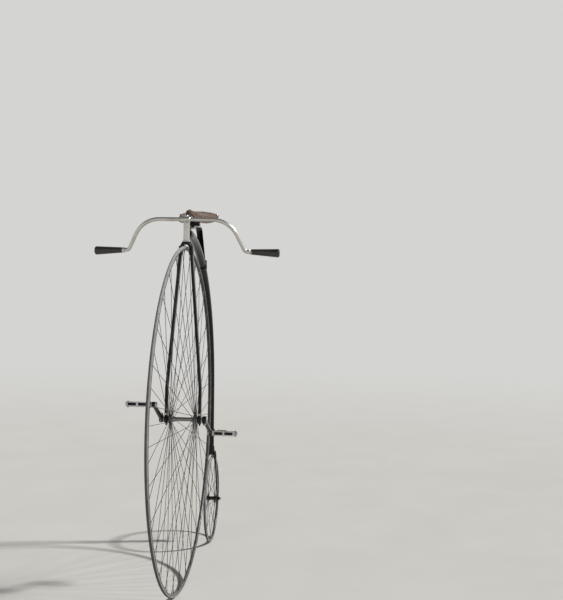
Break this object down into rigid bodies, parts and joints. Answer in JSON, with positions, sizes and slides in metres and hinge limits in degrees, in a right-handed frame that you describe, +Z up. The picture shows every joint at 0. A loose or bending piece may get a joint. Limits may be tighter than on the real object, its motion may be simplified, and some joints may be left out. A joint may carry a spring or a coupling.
{
  "type": "penny farthing racing bicycle",
  "caption": "High wheel racing bicycle with a large steered and pedalled front wheel, a small trailing wheel, a curved backbone, cow horn handlebar and leather saddle.",
  "frame": {"origin": "on top of the saddle, where the rider sits and holds the machine up", "axes": "+X forward, +Y to the rider's left, +Z up"},
  "size_m": [1.6661, 0.7444, 1.524],
  "materials": {
    "black_enamel": "glossy black stoved enamel, worn at edges",
    "nickel": "nickel plate, softly polished",
    "rim_enamel": "dark enamel over steel, rubbed",
    "spoke_steel": "drawn steel wire",
    "tyre_rubber": "grey solid rubber, dusty",
    "handle_horn": "polished black horn",
    "saddle_leather": "dark brown harness leather, burnished",
    "bright_steel": "bright steel, lightly oiled"
  },
  "bodies": {
    "frame": {"backbone": "black_enamel", "neck": "black_enamel", "rear_fork_crown": "black_enamel", "rear_fork_blade_left": "black_enamel", "rear_fork_blade_right": "black_enamel", "rear_axle": "bright_steel", "rear_axle_nuts": "black_enamel", "mounting_step": "black_enamel", "saddle_leather": "saddle_leather", "saddle_frame": "bright_steel", "saddle_clamp": "black_enamel", "saddle_spring": "black_enamel", "spring_bolt": "bright_steel", "saddle_bolt": "bright_steel", "spring_clip": "black_enamel"},
    "fork": {"head": "nickel", "head_bolt": "nickel", "fork_crown": "black_enamel", "fork_blade_left": "black_enamel", "fork_blade_right": "black_enamel", "bearing_case_left": "black_enamel", "bearing_case_right": "black_enamel", "handlebar": "nickel", "ferrule_left": "nickel", "ferrule_right": "nickel", "handle_left": "handle_horn", "handle_right": "handle_horn"},
    "front_wheel": {"front_tyre": "tyre_rubber", "front_rim": "rim_enamel", "front_hub": "spoke_steel", "front_axle": "bright_steel", "crank_left": "black_enamel", "crank_right": "black_enamel", "cotter_left": "bright_steel", "cotter_right": "bright_steel", "pedal_pin_left": "bright_steel", "pedal_pin_right": "bright_steel"},
    "pedal_left": {"pedal_barrel_left": "black_enamel", "pedal_treads_left": "bright_steel"},
    "pedal_right": {"pedal_barrel_right": "black_enamel", "pedal_treads_right": "bright_steel"},
    "rear_wheel": {"rear_tyre": "tyre_rubber", "rear_rim": "rim_enamel", "rear_hub": "spoke_steel"}
  },
  "joints": [
    {"name": "steering", "type": "hinge", "parent": "frame", "child": "fork", "pos_m": [0.1902, 0, -0.11592], "axis": [-0.0349, 0, 0.9994], "range_deg": [-50, 50]},
    {"name": "front_wheel_spin", "type": "hinge", "parent": "fork", "child": "front_wheel", "pos_m": [0.215, 0, -0.82599], "axis": [0, 1, 0], "continuous": true},
    {"name": "pedal_left_spin", "type": "hinge", "parent": "front_wheel", "child": "pedal_left", "pos_m": [0.09757, 0.151, -0.89655], "axis": [0, 1, 0], "continuous": true},
    {"name": "pedal_right_spin", "type": "hinge", "parent": "front_wheel", "child": "pedal_right", "pos_m": [0.33243, -0.151, -0.75543], "axis": [0, 1, 0], "continuous": true},
    {"name": "rear_wheel_spin", "type": "hinge", "parent": "frame", "child": "rear_wheel", "pos_m": [-0.56213, 0, -1.30899], "axis": [0, 1, 0], "continuous": true}
  ]
}
